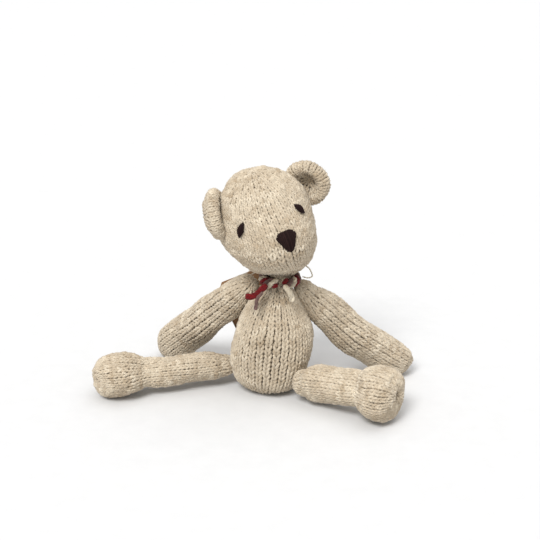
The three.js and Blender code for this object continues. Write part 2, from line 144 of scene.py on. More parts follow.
class Skin:
    """A closed surface of two parameters: u, in turns round it, and s, in millimetres from its first pole."""

    dents = ()  # (centre, radius) of balls that press into it
    lump = 0.0  # height of its soft unevenness
    seed = 0

    def at(self, u, s):
        """The smooth surface, raised by three slow waves in u and s whose phases follow the seed."""
        points = self.smooth(u, s)
        if not self.lump:
            return points
        phase = np.random.default_rng(self.seed).uniform(0, 6.28, 6)
        wave = np.sin(2 * np.pi * 2 * u + s / 17 + phase[0]) + np.sin(2 * np.pi * 3 * u - s / 11 + phase[1])
        wave = wave + np.sin(2 * np.pi * u + s / 7.5 + phase[2])
        fade = np.clip(np.minimum(s, self.length - s) / 18, 0, 1)
        return points + self.lump * (wave * fade)[:, None] * self.smooth_normal(u, s)

    def smooth_normal(self, u, s, span=0.002):
        """Outward normal: the cross product of the steps round and along the surface."""
        inside = np.clip(s, 0.4, self.length - 0.4)
        around = self.smooth(u + span, inside) - self.smooth(u - span, inside)
        along = self.smooth(u, inside + 0.3) - self.smooth(u, inside - 0.3)
        return unit(np.cross(around, along))

    def girth(self, s):
        u = np.linspace(0, 1, 49)
        ring = self.smooth(u, np.full(49, float(s)))
        return np.linalg.norm(np.diff(ring, axis=0), axis=1).sum()

    def pressed(self, points, clearance):
        """Points inside a ball that presses into the surface, moved straight out to the ball."""
        for centre, radius in self.dents:
            away = points - centre
            distance = np.linalg.norm(away, axis=1, keepdims=True)
            reach = radius + clearance
            points = np.where(distance < reach, centre + away * reach / np.maximum(distance, 1e-6), points)
        return points


class TurnedSkin(Skin):
    """An outline carried round an axis: its width runs along the first axis, its height along the second."""

    def __init__(self, outline, origin, axes, dents=(), lump=0.55, seed=1):
        rows = smooth_rows(outline, 260)
        mean = 0.5 * (rows[:, 1] + rows[:, 2])
        steps = np.hypot(np.diff(rows[:, 0]), np.diff(mean))
        self.distance = np.concatenate([[0], np.cumsum(steps)])
        self.rows = rows
        self.length = self.distance[-1]
        self.origin = np.asarray(origin, float)
        self.axes = np.asarray(axes, float)
        self.dents = dents
        self.lump = lump
        self.seed = seed

    def smooth(self, u, s):
        along, wide, high, shift = (np.interp(s, self.distance, column) for column in self.rows.T)
        angle = 2 * np.pi * u
        local = np.stack([np.abs(wide) * np.cos(angle), np.abs(high) * np.sin(angle) + shift, along], axis=1)
        return self.origin + local @ self.axes


class HeadSkin(Skin):
    """An egg, a ball for the muzzle and a ball for the nape, seen from the head's middle: the distance to the
    skin along a direction is a soft maximum of the distances to the three, with a short neck at the bottom. s
    runs from the neck to the crown, and u runs evenly along each level ring, so the columns of stitches sweep
    together towards the muzzle."""

    def __init__(self):
        self.origin = joint_place("head_turn")
        turn = Matrix.Rotation(HEAD_YAW, 3, "Z") @ Matrix.Rotation(-HEAD_ROLL, 3, "Y")
        self.axes = np.array(turn).T
        self.lump = 0.5
        self.seed = 5
        self.tilts = np.linspace(math.pi, 0, HEAD_LEVELS)
        angles = np.linspace(0.5, 2.5, HEAD_ANGLES) * math.pi
        tilt, angle = np.meshgrid(self.tilts, angles, indexing="ij")
        grid = self.toward(tilt.ravel(), angle.ravel()).reshape(HEAD_LEVELS, HEAD_ANGLES, 3)
        rise = np.linalg.norm(np.diff(grid, axis=0), axis=2)
        rise = 0.5 * (rise.mean(axis=1) + rise.max(axis=1))
        self.distance = np.concatenate([[0], np.cumsum(rise)])
        self.length = self.distance[-1]
        run = np.linalg.norm(np.diff(grid, axis=1), axis=2) + 1e-6
        run = np.concatenate([np.zeros((HEAD_LEVELS, 1)), np.cumsum(run, axis=1)], axis=1)
        even = np.linspace(0, 1, HEAD_ANGLES)
        self.angles = np.stack([np.interp(even, row / row[-1], angles) for row in run])

    def reach(self, n):
        egg = 1 / np.linalg.norm(n / np.array(HEAD_RADII), axis=1)
        total = egg**HEAD_BLEND
        for centre, radius in (MUZZLE, NAPE):
            centre = np.array(centre)
            along = n @ centre
            square = along**2 - centre @ centre + radius**2
            ball = np.where(square > 0, np.maximum(along + np.sqrt(np.maximum(square, 0)), 0), 0)
            total = total + ball**HEAD_BLEND
        tilt = np.arccos(np.clip(-n[:, 2], -1, 1))  # from the neck
        return total ** (1 / HEAD_BLEND) + NECK_RISE * np.exp(-((tilt / NECK_SPREAD) ** 2))

    def place(self, n):
        """The point of the skin along directions n from the head's middle."""
        n = unit(np.atleast_2d(np.asarray(n, float)))
        local = n * self.reach(n)[:, None] + np.array([0, 0, HEAD_UP])
        return self.origin + local @ self.axes

    def toward(self, tilt, angle):
        """The point at a tilt from the crown and an angle about it."""
        n = [np.sin(tilt) * np.cos(angle), np.sin(tilt) * np.sin(angle), np.cos(tilt)]
        return self.place(np.stack(n, axis=1))

    def smooth(self, u, s):
        """The angle is read from the table of even rings, between its rows and columns."""
        levels = np.arange(float(HEAD_LEVELS))
        row = np.interp(s, self.distance, levels)
        column = (u % 1) * (HEAD_ANGLES - 1)
        i = np.minimum(row.astype(int), HEAD_LEVELS - 2)
        k = np.minimum(column.astype(int), HEAD_ANGLES - 2)
        f, g = row - i, column - k
        low = self.angles[i, k] * (1 - g) + self.angles[i, k + 1] * g
        high = self.angles[i + 1, k] * (1 - g) + self.angles[i + 1, k + 1] * g
        return self.toward(np.interp(row, levels, self.tilts), low * (1 - f) + high * f)


# ---------------------------------------------------------------------------------------------------------
# Meshes
# ---------------------------------------------------------------------------------------------------------
def new_object(name, points, faces, uv=None, tone=None):
    """A smooth-shaded mesh of quads (or triangles) from whole arrays, its points given in millimetres."""
    corners = faces.shape[1]
    mesh = bpy.data.meshes.new(name)
    mesh.vertices.add(len(points))
    mesh.vertices.foreach_set("co", (np.asarray(points) * MM).astype(np.float32).ravel())
    mesh.loops.add(faces.size)
    mesh.loops.foreach_set("vertex_index", faces.astype(np.int32).ravel())
    mesh.polygons.add(len(faces))
    mesh.polygons.foreach_set("loop_start", np.arange(0, faces.size, corners, dtype=np.int32))
    mesh.update(calc_edges=True)
    if uv is not None:
        mesh.uv_layers.new(name="Yarn").data.foreach_set("uv", uv.astype(np.float32).ravel())
    if tone is not None:
        mesh.attributes.new("tone", "FLOAT", "POINT").data.foreach_set("value", tone.astype(np.float32))
    mesh.shade_smooth()
    made = bpy.data.objects.new(name, mesh)
    bpy.context.scene.collection.objects.link(made)
    return made


def yarn_tube(path, side, radius, sides=6, closed=False, tone=0.5):
    """A round yarn along a path: at each step a ring of points at radius round the path, in the plane of the
    side direction and the cross product of the path's own direction with it. An open yarn tapers to a point at
    each end. Returns points, quads, uv and tone."""
    count = len(path)
    if closed:
        tangent = unit(np.roll(path, -1, axis=0) - np.roll(path, 1, axis=0))
    else:
        tangent = unit(np.gradient(path, axis=0))
    side = unit(side - tangent * np.sum(side * tangent, axis=1, keepdims=True))
    other = np.cross(tangent, side)
    radius = np.broadcast_to(radius, count).astype(float).copy()
    if not closed:
        step = np.linalg.norm(np.diff(path, axis=0), axis=1)
        run = np.concatenate([[0], np.cumsum(step)])
        to_end = np.minimum(run, run[-1] - run)
        radius *= np.sqrt(np.clip(1 - (1 - np.clip(to_end / (radius * 1.1), 0, 1)) ** 2, 1e-4, 1))
    angle = 2 * np.pi * (np.arange(sides) / sides)
    ring = np.cos(angle)[None, :, None] * side[:, None] + np.sin(angle)[None, :, None] * other[:, None]
    points = (path[:, None] + radius[:, None, None] * ring).reshape(-1, 3)
    spans = count if closed else count - 1
    i, k = np.meshgrid(np.arange(spans), np.arange(sides), indexing="ij")
    i, k = i.ravel(), k.ravel()
    after = (i + 1) % count
    beside = (k + 1) % sides
    faces = np.stack([i * sides + k, i * sides + beside, after * sides + beside, after * sides + k], axis=1)
    length = np.linalg.norm(np.diff(path, axis=0), axis=1)
    run = np.concatenate([[0], np.cumsum(length)])
    run = np.append(run, run[-1] + length[-1])
    across = np.stack([k, k + 1, k + 1, k], axis=1) / sides
    uv = np.stack([run[np.stack([i, i, i + 1, i + 1], axis=1)], across], axis=2)
    tones = np.repeat(np.broadcast_to(tone, count), sides)
    return points, faces, uv, tones


def wound(route, reference, tones, pitch, offset, radius, sides):
    """Plies wound round a route, one for each tone: each keeps at an offset from it, and its angle about it,
    measured from the cross product of the route's direction with the reference, grows by one turn every pitch
    millimetres."""
    step = np.linalg.norm(np.diff(route, axis=0), axis=1)
    run = np.concatenate([[0], np.cumsum(step)])
    tangent = unit(np.gradient(route, axis=0))
    side = unit(np.cross(tangent, np.broadcast_to(np.array(reference, float), route.shape)))
    other = np.cross(tangent, side)
    made = []
    for ply, tone in enumerate(tones):
        angle = (2 * np.pi * (run / pitch + ply / len(tones)))[:, None]
        path = route + offset * (np.cos(angle) * side + np.sin(angle) * other)
        made.append(yarn_tube(path, side, radius, sides=sides, tone=tone))
    return made


def joined(parts):
    """Several (points, faces, uv, tone) as one."""
    starts = np.cumsum([0] + [len(part[0]) for part in parts[:-1]])
    points = np.concatenate([part[0] for part in parts])
    faces = np.concatenate([part[1] + start for part, start in zip(parts, starts)])
    uv = np.concatenate([part[2].reshape(-1, 2) for part in parts])
    tone = np.concatenate([part[3] for part in parts])
    return points, faces, uv, tone


def stitch_counts(skin, rows, wale, full):
    """How many stitches each row has: full, or a simple share of it where the knitting is decreased, kept from
    row to row until the stitches would be too narrow or too wide."""
    shares = np.array([1 / 8, 1 / 6, 1 / 4, 3 / 8, 1 / 2, 3 / 4, 1, 5 / 4, 3 / 2])
    options = np.maximum(np.round(full * shares), 3).astype(int)
    counts = []
    for row in range(rows):
        girth = skin.girth((row + 0.5) * skin.length / rows)
        width = girth / counts[-1] if counts else 0
        if 0.74 * wale < width < 1.38 * wale:
            counts.append(counts[-1])
        else:
            counts.append(int(options[np.argmin(np.abs(np.log(girth / options / wale)))]))
    return counts


def knitted(skin, wale, course, full, yarn, seed, samples=12, sides=6, turn=0.0, loose=1.0):
    """Stockinette over a skin. Row by row one yarn runs round it, and over each stitch, t from 0 to a full turn,
    it shifts sideways by 0.23 sin 2t - 0.055 sin t of a stitch, up and down by 0.95 cos t of a row, and out of
    the skin by 0.07 cos t - 0.16 cos 2t of a stitch, so its legs lie in front, close together in columns, and
    its loops reach behind the rows above and below. Each stitch has a little of its own shift, size and
    thickness."""
    rng = np.random.default_rng(seed)
    rows = max(int(round(skin.length / course)), 3)
    height = skin.length / rows
    parts = []
    for row, count in enumerate(stitch_counts(skin, rows, wale, full)):
        stitch = np.arange(count * samples) / samples
        t = 2 * np.pi * stitch

        phase = rng.uniform(0, 6.28)

        def own(spread):
            values = rng.normal(0, spread, count)
            return np.interp(stitch, np.arange(count + 1), np.append(values, values[0]))

        s = (row + 0.5) * height + (0.95 + own(0.07 * loose)) * height * np.cos(t) + own(0.07 * loose) * height
        s = np.clip(s, 0.25, skin.length - 0.25)
        u = stitch + (0.23 + own(0.02 * loose)) * np.sin(2 * t) - 0.055 * np.sin(t) + own(0.045 * loose)
        u = u / count + turn
        width = skin.girth((row + 0.5) * height) / count
        squeeze = np.clip(width / wale, 0.6, 1.1)
        slub = 1 + 0.06 * np.sin(t / 5 + phase) + 0.05 * np.sin(t / 2.3 + 2 * phase)
        slub = slub + rng.normal(0, 0.05, len(t))
        thickness = yarn * squeeze * slub * (1 + own(0.1 * loose))
        depth = width * (0.07 * np.cos(t) - 0.16 * np.cos(2 * t)) + own(0.16 * loose)
        normal = skin.smooth_normal(u, s)
        path = skin.at(u, s) + normal * (depth - yarn - 0.16 * wale)[:, None]
        path = skin.pressed(path, yarn + 0.3) + rng.normal(0, 0.07 * loose, path.shape)
        tone = np.clip(0.5 + own(0.2) + rng.normal(0, 0.08), 0, 1)
        parts.append(yarn_tube(path, normal, thickness, sides=sides, closed=True, tone=tone))
    return joined(parts)


def fuzz(points, middle, count, seed):
    """Short loose fibres on a knitted piece: from random points of the yarn each rises outwards and leans over,
    in two steps with a random sideways part, as a three-sided hair that thins to a tenth."""
    rng = np.random.default_rng(seed)
    root = points[rng.integers(0, len(points), count)]
    out = unit(root - middle(root))
    lean = rng.normal(0, 1, (count, 3))
    reach = rng.uniform(0.5, 1.3, (count, 1))
    first = root + reach * unit(out + 0.7 * lean) * 0.6
    second = first + reach * unit(0.5 * out + 1.2 * lean + rng.normal(0, 0.7, (count, 3)))
    path = np.stack([root - 0.2 * out, first, second], axis=1)
    along = unit(second - root)
    side = unit(np.cross(along, out + 1e-3))
    other = np.cross(along, side)
    angle = 2 * np.pi * np.arange(3) / 3
    ring = np.cos(angle)[:, None] * side[:, None] + np.sin(angle)[:, None] * other[:, None]
    thick = np.array([0.05, 0.04, 0.006])[None, :, None, None]
    mesh = (path[:, :, None] + thick * ring[:, None]).reshape(-1, 3)
    i, k = np.meshgrid(np.arange(2), np.arange(3), indexing="ij")
    i, k = i.ravel(), k.ravel()
    beside = (k + 1) % 3
    one = np.stack([i * 3 + k, i * 3 + beside, i * 3 + 3 + beside, i * 3 + 3 + k], axis=1)
    faces = (9 * np.arange(count)[:, None, None] + one[None]).reshape(-1, 4)
    uv = np.zeros((len(faces) * 4, 2))
    tone = np.repeat(rng.uniform(0.5, 1, count), 9)
    return mesh, faces, uv, tone


def filled(skin, inset, around=72, levels=48):
    """The surface of the stuffing: the skin's own grid of u and s, moved in by inset, closed at both poles."""
    u, s = np.meshgrid(np.arange(around) / around, np.linspace(0.6, skin.length - 0.6, levels), indexing="ij")
    u, s = u.ravel(), s.ravel()
    points = skin.at(u, s) - inset * skin.smooth_normal(u, s)
    points = skin.pressed(points, inset)
    i, k = np.meshgrid(np.arange(around), np.arange(levels - 1), indexing="ij")
    i, k = i.ravel(), k.ravel()
    beside = (i + 1) % around
    faces = np.stack([i * levels + k, beside * levels + k, beside * levels + k + 1, i * levels + k + 1], axis=1)
    first = points.reshape(around, levels, 3)[:, 0].mean(axis=0)
    last = points.reshape(around, levels, 3)[:, -1].mean(axis=0)
    total = len(points)
    points = np.concatenate([points, [first, last]])
    ring = np.arange(around)
    following = (ring + 1) % around
    low = np.stack([np.full(around, total), following * levels, ring * levels], axis=1)
    top = levels - 1
    high = np.stack([np.full(around, total + 1), ring * levels + top, following * levels + top], axis=1)
    triangles = np.concatenate([faces[:, [0, 1, 2]], faces[:, [0, 2, 3]], low, high])
    return points, triangles


# ---------------------------------------------------------------------------------------------------------
# Materials
# ---------------------------------------------------------------------------------------------------------
def shader(name, roughness, sheen=0.0, metallic=0.0, specular=0.25):
    material = bpy.data.materials.new(name)
    material.use_nodes = True
    principled = material.node_tree.nodes["Principled BSDF"]
    principled.inputs["Roughness"].default_value = roughness
    principled.inputs["Metallic"].default_value = metallic
    principled.inputs["Sheen Weight"].default_value = sheen
    principled.inputs["Sheen Roughness"].default_value = 0.6
    principled.inputs["Specular IOR Level"].default_value = specular
    return material, material.node_tree, principled


def node(tree, kind, **values):
    made = tree.nodes.new(kind)
    for key, value in values.items():
        if hasattr(made, key):
            setattr(made, key, value)
        else:
            made.inputs[key.replace("_", " ")].default_value = value
    return made


def computed(tree, operation, *values):
    """The result of a math node on numbers and other nodes' outputs."""
    made = node(tree, "ShaderNodeMath", operation=operation)
    for socket, value in zip(made.inputs, values):
        if isinstance(value, (int, float)):
            socket.default_value = value
        else:
            tree.links.new(value, socket)
    return made.outputs[0]


def ranged(tree, value, lowest, highest, to_lowest=0.0, to_highest=1.0):
    """A value from one range carried over to another, and held at its ends."""
    made = node(tree, "ShaderNodeMapRange")
    ends = {"From Min": lowest, "From Max": highest, "To Min": to_lowest, "To Max": to_highest}
    for key, end in ends.items():
        made.inputs[key].default_value = end
    tree.links.new(value, made.inputs["Value"])
    return made.outputs[0]


def noise(tree, place, **values):
    made = node(tree, "ShaderNodeTexNoise", **values)
    tree.links.new(place.outputs["Object"], made.inputs["Vector"])
    return made.outputs["Fac"]


def yarn_material(name, dark, light, roughness=0.95, sheen=0.2, twist=0.4, bump=0.6, specular=0.2):
    """Wool yarn. Each stitch's own tone and slow patches choose a colour between the dark and the light shade,
    and flecks and fine fibres darken or lighten it. The relief is the fibres' noise plus a sine of the distance
    along the yarn, times the twist, plus the distance round it, which makes the plies."""
    material, tree, principled = shader(name, roughness, sheen, specular=specular)
    link = tree.links.new
    place = node(tree, "ShaderNodeTexCoord")
    tone = node(tree, "ShaderNodeAttribute", attribute_name="tone")
    patches = noise(tree, place, Scale=70.0, Detail=3.0)
    fibres = noise(tree, place, Scale=1100.0, Detail=4.0, Roughness=0.7)
    flecks = noise(tree, place, Scale=420.0, Detail=2.0)
    blend = computed(tree, "MULTIPLY_ADD", patches, 0.3, tone.outputs["Fac"])
    ramp = node(tree, "ShaderNodeValToRGB")
    ramp.color_ramp.elements[0].color = (*dark, 1)
    ramp.color_ramp.elements[1].color = (*light, 1)
    link(ranged(tree, blend, 0.1, 1.15), ramp.inputs[0])
    speck = ranged(tree, flecks, 0.36, 0.6, 0.88, 1.03)
    shade = ranged(tree, fibres, 0.3, 0.7, 0.76, 1.1)
    scale = node(tree, "ShaderNodeVectorMath", operation="SCALE")
    link(ramp.outputs["Color"], scale.inputs[0])
    link(computed(tree, "MULTIPLY", speck, shade), scale.inputs["Scale"])
    link(scale.outputs[0], principled.inputs["Base Color"])
    parts = node(tree, "ShaderNodeSeparateXYZ")
    link(place.outputs["UV"], parts.inputs[0])
    slope = computed(tree, "MULTIPLY_ADD", parts.outputs["X"], twist, parts.outputs["Y"])
    plies = computed(tree, "SINE", computed(tree, "MULTIPLY", slope, 4 * math.pi))
    relief = node(tree, "ShaderNodeBump", Strength=bump, Distance=0.0006)
    link(computed(tree, "MULTIPLY_ADD", plies, 0.25, fibres), relief.inputs["Height"])
    link(relief.outputs[0], principled.inputs["Normal"])
    return material


def grained_material(name, dark, light, scale, roughness, stretch=(1, 1, 1), bump=0.2, metallic=0.0):
    """A plain finish with grain: noise, stretched along the piece, sets the colour and a fine relief."""
    material, tree, principled = shader(name, roughness, metallic=metallic)
    link = tree.links.new
    place = node(tree, "ShaderNodeTexCoord")
    mapping = node(tree, "ShaderNodeMapping")
    mapping.inputs["Scale"].default_value = stretch
    grain = node(tree, "ShaderNodeTexNoise", Scale=scale, Detail=5.0, Roughness=0.65)
    ramp = node(tree, "ShaderNodeValToRGB")
    ramp.color_ramp.elements[0].position = 0.35
    ramp.color_ramp.elements[0].color = (*dark, 1)
    ramp.color_ramp.elements[1].position = 0.65
    ramp.color_ramp.elements[1].color = (*light, 1)
    relief = node(tree, "ShaderNodeBump", Strength=bump, Distance=0.0003)
    link(place.outputs["Object"], mapping.inputs["Vector"])
    link(mapping.outputs[0], grain.inputs["Vector"])
    link(grain.outputs["Fac"], ramp.inputs[0])
    link(ramp.outputs["Color"], principled.inputs["Base Color"])
    link(grain.outputs["Fac"], relief.inputs["Height"])
    link(relief.outputs[0], principled.inputs["Normal"])
    return material


def dress(piece, material):
    piece.data.materials.clear()
    piece.data.materials.append(material)
    return piece


def dress_node(name, material):
    piece = frame["nodes"][name]
    if not piece.material_slots:
        piece.data.materials.append(None)
    piece.material_slots[0].link = "OBJECT"
    piece.material_slots[0].material = material


def shared(key, make):
    """A material made once and used again."""
    found = bpy.data.materials.get(key)
    return found or make(key)


def cream_wool():
    colours = bpy.context.scene.bear_colours
    return shared("bear_wool", lambda key: yarn_material(key, colours.wool_dark, colours.wool_light))


def painted_shade_filling():
    colours = bpy.context.scene.bear_colours
    # Painted shade: the filling is coloured as 0.4 to 0.62 of the dark wool, far darker than real stuffing, so
    # the gaps between the stitches look shaded.
    dark, light = ([share * value for value in colours.wool_dark] for share in (0.4, 0.62))
    return shared("bear_filling_painted_shade", lambda key: grained_material(key, dark, light, 900, 1.0, bump=0.6))


def dark_yarn():
    colours = bpy.context.scene.bear_colours
    finish = dict(roughness=0.6, sheen=0.0, twist=0.9, bump=0.35, specular=0.07)
    dark, light = colours.face_dark, colours.face_light
    return shared("bear_face_yarn", lambda key: yarn_material(key, dark, light, **finish))


# ---------------------------------------------------------------------------------------------------------
# Settings
# ---------------------------------------------------------------------------------------------------------
def length_setting(name, description, default):
    return bpy.props.FloatProperty(
        name=name, description=description, default=default * MM, unit="LENGTH", min=0.0001, precision=4
    )


def colour_setting(name, description, default):
    return bpy.props.FloatVectorProperty(
        name=name, description=description, default=default, subtype="COLOR", min=0, max=1
    )


class BearGauge(bpy.types.PropertyGroup):
    """Sizes of the knitting."""

    body_wale: length_setting("Torso stitch", "Width of a stitch on the torso", 4.7)
    head_wale: length_setting("Head stitch", "Width of a stitch on the head", 4.25)
    arm_wale: length_setting("Arm stitch", "Width of a stitch on the arms", 4.5)
    leg_wale: length_setting("Leg stitch", "Width of a stitch on the legs", 4.4)
    ear_wale: length_setting("Ear stitch", "Width of a stitch on the ears", 4.2)
    yarn: length_setting("Yarn radius", "Half the thickness of the wool", 1.02)
    row_share: bpy.props.FloatProperty(
        name="Row height", description="Height of a row as a share of a stitch's width",
        default=0.78, subtype="FACTOR",
    )


class BearColours(bpy.types.PropertyGroup):
    """Colours of the yarns and trims."""

    wool_dark: colour_setting("Wool, dark", "Darkest shade of the cream wool", (0.42, 0.325, 0.215))
    wool_light: colour_setting("Wool, light", "Lightest shade of the cream wool", (0.735, 0.64, 0.495))
    face_dark: colour_setting("Face, dark", "Darkest shade of the eyes and nose", (0.009, 0.004, 0.004))
    face_light: colour_setting("Face, light", "Lightest shade of the eyes and nose", (0.028, 0.013, 0.012))
    red: colour_setting("Red yarn", "The collar's red yarn", (0.16, 0.003, 0.005))
    pale: colour_setting("Pale yarn", "The collar's cream yarn", (0.66, 0.575, 0.44))
    mauve: colour_setting("Mauve yarn", "The collar's mauve-grey yarn", (0.17, 0.10, 0.085))
    card: colour_setting("Card", "The paper tag", (0.24, 0.14, 0.075))


class BearStage(bpy.types.PropertyGroup):
    """Camera."""

    elevation: bpy.props.FloatProperty(
        name="Camera elevation", description="Angle above the floor", default=math.radians(20), subtype="ANGLE"
    )
    distance: bpy.props.FloatProperty(
        name="Camera distance", description="From the bear", default=1.0, unit="LENGTH"
    )
    view_width: bpy.props.FloatProperty(
        name="View width", description="Width of the view at the bear", default=0.432, unit="LENGTH"
    )


# ---------------------------------------------------------------------------------------------------------
# Operators
# ---------------------------------------------------------------------------------------------------------
VIEW_SIDE, VIEW_UP = 1.6, 94.4  # middle of the view: sideways, and upwards across it
FLOOR_REACH = 9000  # from the middle of the floor to its sides


class BEAR_OT_stage(bpy.types.Operator):
    """Sets the camera, the soft lights and the pale floor"""

    bl_idname = "bear.stage"
    bl_label = "Stage"

    def execute(self, context):
        stage = context.scene.bear_stage
        self.add_camera(context, stage)
        self.add_lights(context)
        self.add_floor(context)
        return {"FINISHED"}

    def add_camera(self, context, stage):
        """The camera looks along +Y and down by the elevation, at a point just above the bear's belly."""
        forward = Vector((0, math.cos(stage.elevation), -math.sin(stage.elevation)))
        upward = Vector((0, math.sin(stage.elevation), math.cos(stage.elevation)))
        target = Vector((VIEW_SIDE * MM, 0, 0)) + upward * (VIEW_UP * MM)
        camera = bpy.data.cameras.new("camera")
        camera.lens_unit = "FOV"
        camera.angle = 2 * math.atan(stage.view_width / 2 / stage.distance)
        holder = bpy.data.objects.new("camera", camera)
        holder.location = target - forward * stage.distance
        holder.rotation_euler = (math.pi / 2 - stage.elevation, 0, 0)
        context.scene.collection.objects.link(holder)
        context.scene.camera = holder

    def add_lights(self, context):
        for name, direction, spread, strength in (
            ("key", (-0.45, -0.95, 1.2), 24, 2.6),
            ("top", (0.4, 0.1, 1.5), 60, 0.9),
        ):
            lamp = bpy.data.lights.new(name, "SUN")
            lamp.angle = math.radians(spread)
            lamp.energy = strength
            holder = bpy.data.objects.new(name, lamp)
            holder.rotation_euler = Vector(direction).to_track_quat("Z", "Y").to_euler()
            context.scene.collection.objects.link(holder)
        world = bpy.data.worlds.new("studio")
        context.scene.world = world
        world.use_nodes = True
        world.node_tree.nodes["Background"].inputs["Color"].default_value = (1, 1, 1, 1)
        world.node_tree.nodes["Background"].inputs["Strength"].default_value = 0.66
        context.scene.view_settings.view_transform = "Standard"

    def add_floor(self, context):
        corners = FLOOR_REACH * np.array([[-1, -1, 0], [1, -1, 0], [1, 1, 0], [-1, 1, 0]], float)
        floor = new_object("floor", corners, np.array([[0, 1, 2, 3]]))
        paper = grained_material("floor_paper", (0.64, 0.64, 0.64), (0.66, 0.66, 0.66), 60, 0.9, bump=0.02)
        dress(floor, paper)


STRING_POINTS = [
    [0.4, 12.4, 93.6], [-2, 16, 92], [-6, 23, 90.6], [-12, 34, 85],
    [-22.64, 42.31, 72.46], [-22.28, 40.86, 72.46],
    [-21.92, 39.4, 72.46], [-15.5, 53.5, 80], [-12.5, 52, 86], [-3, 43, 92], [9, 34, 94], [20, 27, 95.4],
    [28, 20, 97.4], [32, 13, 97.4], [34, 8.6, 95.2], [34.4, 4.4, 93.6], [31, 2.6, 93], [26.8, 3.4, 93.8],
]  # the string's way from the collar, through the eyelet, and back to the collar


class BEAR_OT_tag(bpy.types.Operator):
    """Hangs the blank paper tag on its twisted cotton string"""

    bl_idname = "bear.tag"
    bl_label = "Tag and string"

    def execute(self, context):
        colours = context.scene.bear_colours
        route = smooth_rows(STRING_POINTS, 260)
        reference = [0.35, 0.3, 0.89]  # a direction that the route never follows
        plies = wound(route, reference, tones=(0.5, 0.5), pitch=4, offset=0.27, radius=0.34, sides=6)
        string = new_object("cotton_string", *joined(plies))
        dark, light = (0.62, 0.55, 0.42), (0.85, 0.79, 0.66)
        dress(string, yarn_material("cotton_string", dark, light, roughness=0.85, twist=2.0, bump=0.2))
        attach(string, "torso")
        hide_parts("tag_string")
        light = [1.5 * value for value in colours.card]
        card = grained_material("kraft_card", colours.card, light, 500, 0.85, stretch=(1, 1, 6), bump=0.25)
        dress_node("tag_card", card)
        dark, light = (0.40, 0.28, 0.11), (0.52, 0.38, 0.17)
        brass = grained_material("brass", dark, light, 800, 0.35, bump=0.05, metallic=1.0)
        dress_node("tag_eyelet", brass)
        return {"FINISHED"}


STITCHES = dict(torso=40, head=54, arm=22, leg=24, ear=26)  # in a full row
FIBRES = 4000  # loose fibres on one piece
FILLING_INSET = 2.9  # from the skin to the filling


def add_knit(name, skin, body, node_names, gauge, wale, full, seed, **choices):
    """One knitted piece, the loose fibres on it and the filling that shows between its stitches, coloured dark
    as painted shade in the gaps.
    """
    wale = wale / MM
    course = wale * gauge.row_share
    points, faces, uv, tone = knitted(skin, wale, course, full, gauge.yarn / MM, seed, **choices)
    piece = dress(new_object(name, points, faces, uv, tone), cream_wool())
    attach(piece, body)
    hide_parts(*node_names[:1])
    centre = points.mean(axis=0)
    axis = unit(skin.axes[2]) * (0.36 * skin.length)

    def middle(root):
        """The nearest place on the middle line of the piece, from which its fibres point outwards."""
        along = np.clip((root - centre) @ axis / (axis @ axis), -1, 1)
        return centre + along[:, None] * axis

    hairs = dress(new_object(name + "_fuzz", *fuzz(points, middle, FIBRES, seed)), cream_wool())
    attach(hairs, body)
    points, faces = filled(skin, FILLING_INSET)
    # The filling's dark colour is painted shade for the gaps between the stitches.
    core = dress(new_object(name + "_filling", points, faces), painted_shade_filling())
    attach(core, body)
    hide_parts(*node_names[1:])
    return piece


class BEAR_OT_torso(bpy.types.Operator):
    """Knits the torso over its stuffing, dented where the roots of the limbs and the head nest"""

    bl_idname = "bear.torso"
    bl_label = "Torso"

    def execute(self, context):
        gauge = context.scene.bear_gauge
        outline = [[height, wide, wide * TORSO_DEPTH, 0] for height, wide in TORSO_OUTLINE]
        axes = [[1, 0, 0], [0, 1, 0], [TORSO_LEAN, 0, 1]]
        roots = [joint_place(limb["joint"]) for limb in LIMBS.values()] + [joint_place("head_turn")]
        dents = [(centre, ROOT_RADIUS) for centre in roots]
        skin = TurnedSkin(outline, (0, 0, 0), axes, dents, seed=3)
        nodes = ("torso_knit", "torso_stuffing")
        add_knit("torso", skin, "torso", nodes, gauge, gauge.body_wale, STITCHES["torso"], 11)
        return {"FINISHED"}


class BEAR_OT_limbs(bpy.types.Operator):
    """Knits both arms and both legs from their gathered roots to their rounded ends"""

    bl_idname = "bear.limbs"
    bl_label = "Arms and legs"

    def execute(self, context):
        gauge = context.scene.bear_gauge
        for seed, (name, limb) in enumerate(LIMBS.items(), start=21):
            root = joint_place(limb["joint"])
            line = np.array(limb["tip"], float) - root
            stretch = np.linalg.norm(line) / max(row[0] for row in limb["outline"])
            outline = []
            for along, wide, high in limb["outline"]:
                stout = limb["foot"] if along > FOOT_START else limb["girth"]
                sag = limb["sag"] * math.sin(math.pi * min(max(along, 0) / SAG_SPAN, 1))
                sag += limb["drop"] * math.exp(-((max(along, 0) / DROP_REACH) ** 2))
                along *= stretch if along > 0 else 1
                stout *= 1 + limb["swell"] * math.exp(-((max(along - SWELL_START, 0) / SWELL_REACH) ** 2))
                outline.append([along, wide * stout, high * stout, -sag])
            forward = line / np.linalg.norm(line)
            level = np.cross([0, 0, 1], forward)
            level /= np.linalg.norm(level)
            axes = [level, np.cross(forward, level), forward]
            skin = TurnedSkin(outline, root, axes, seed=seed)
            kind = name.split("_")[1]
            wale = gauge.arm_wale if kind == "arm" else gauge.leg_wale
            nodes = (name + "_knit", name + "_stuffing")
            add_knit(name, skin, name, nodes, gauge, wale, STITCHES[kind], seed, turn=limb["turn"])
        return {"FINISHED"}


class BEAR_OT_head(bpy.types.Operator):
    """Knits the head from the neck to the gathered crown"""

    bl_idname = "bear.head"
    bl_label = "Head"

    def execute(self, context):
        gauge = context.scene.bear_gauge
        nodes = ("head_knit", "head_stuffing")
        add_knit("head", HeadSkin(), "head", nodes, gauge, gauge.head_wale, STITCHES["head"], 31)
        return {"FINISHED"}


